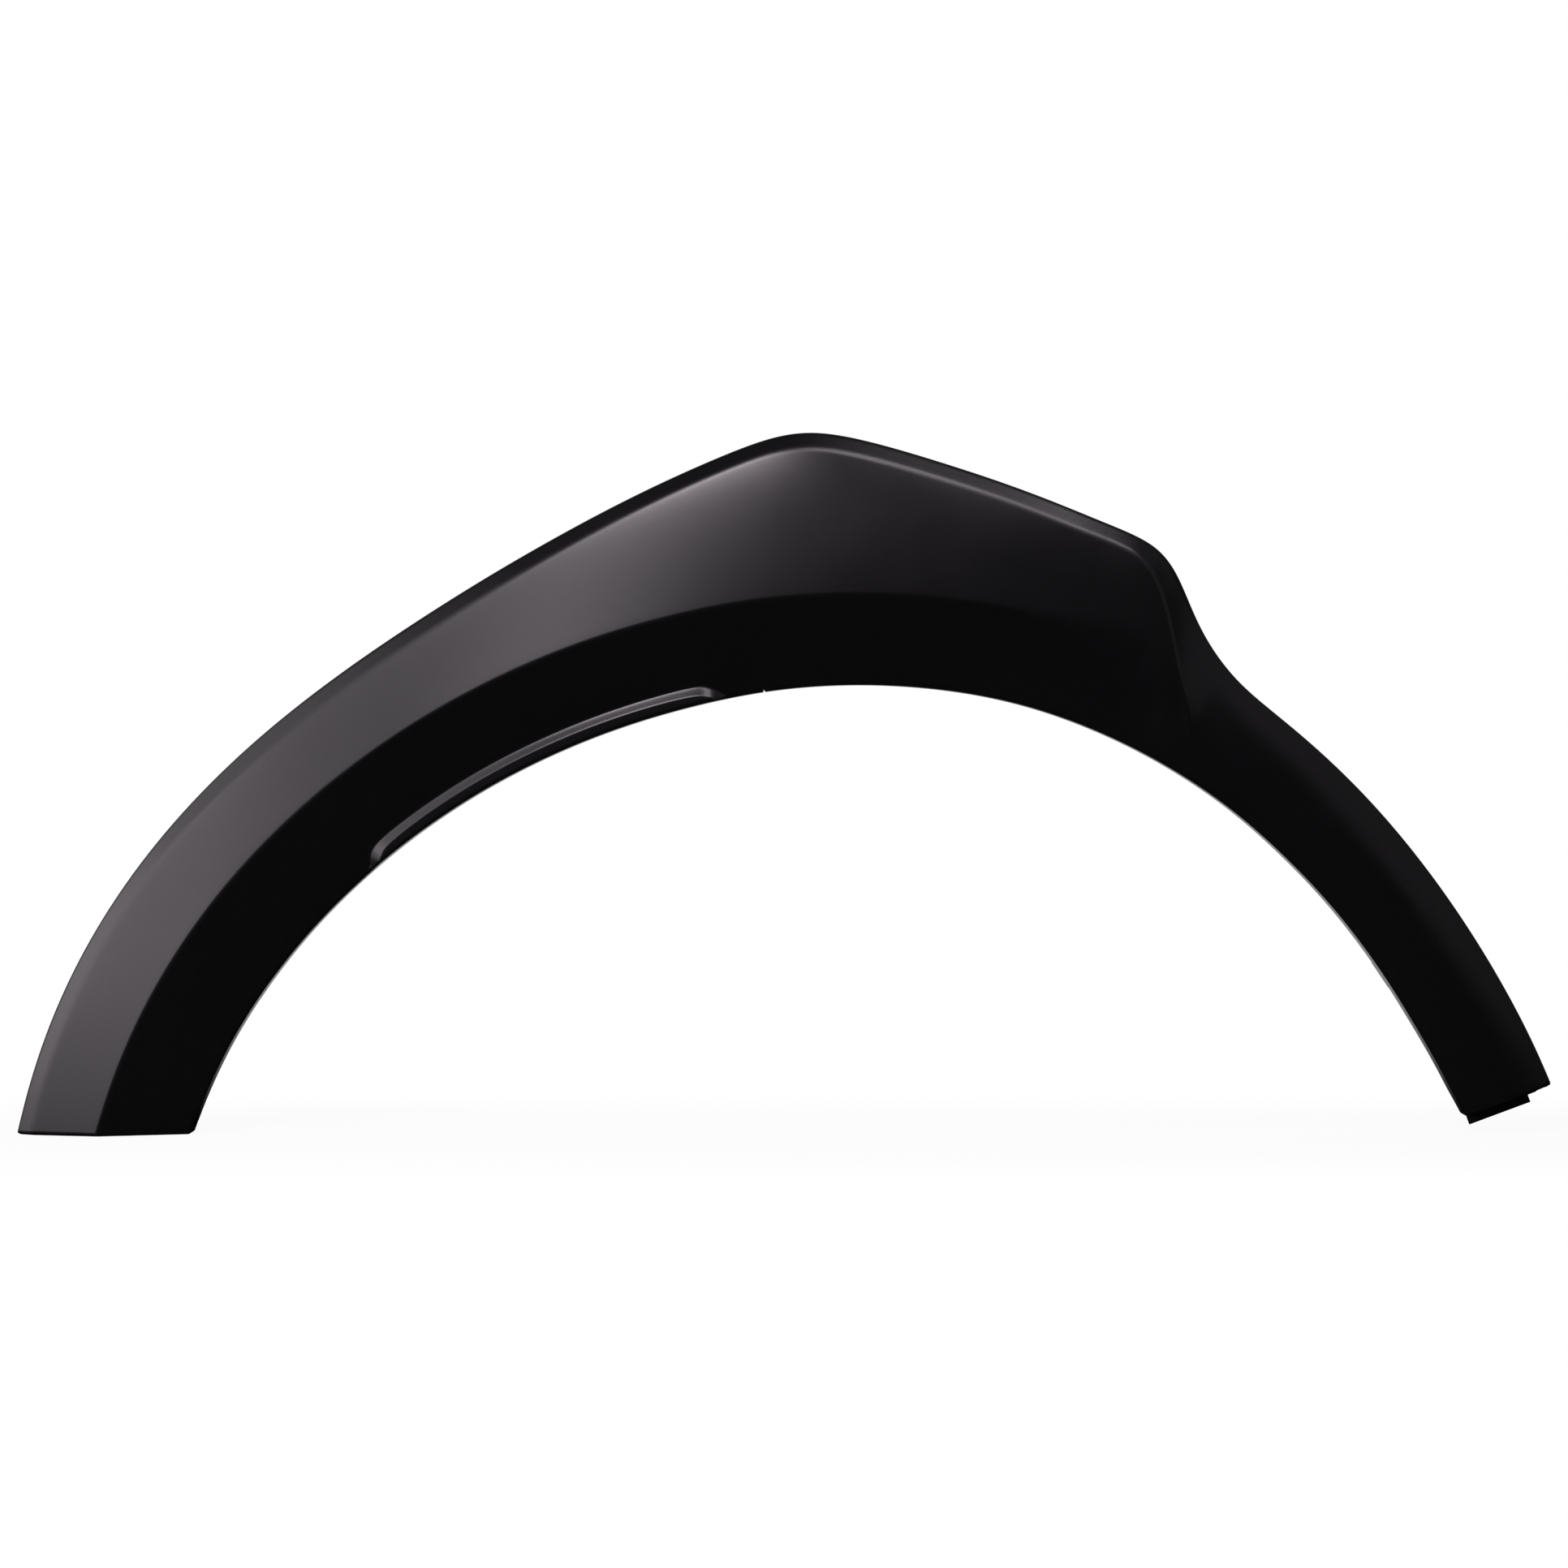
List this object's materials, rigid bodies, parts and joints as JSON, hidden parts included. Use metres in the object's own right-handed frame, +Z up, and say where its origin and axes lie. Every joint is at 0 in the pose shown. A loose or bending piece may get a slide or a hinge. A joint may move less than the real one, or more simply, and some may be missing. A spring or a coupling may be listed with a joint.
{
  "type": "wheel arch trim",
  "caption": "Moulded black flare that trims a car's front wheel opening, creased along the arch and hollow behind, with locating pins, clip seats and screw lugs",
  "frame": {"origin": "foot of the main locating pin, in the plane where the trim rests on the wing, straight above the wheel's axis", "axes": "+Z up, X along the car with the bumper end at +X, the visible face towards -Y and the car's body at +Y"},
  "size_m": [0.9081, 0.0555, 0.4146],
  "materials": {
    "black_pp": "fine grained satin black"
  },
  "bodies": {
    "root": {"arch_trim": "black_pp"}
  },
  "joints": []
}
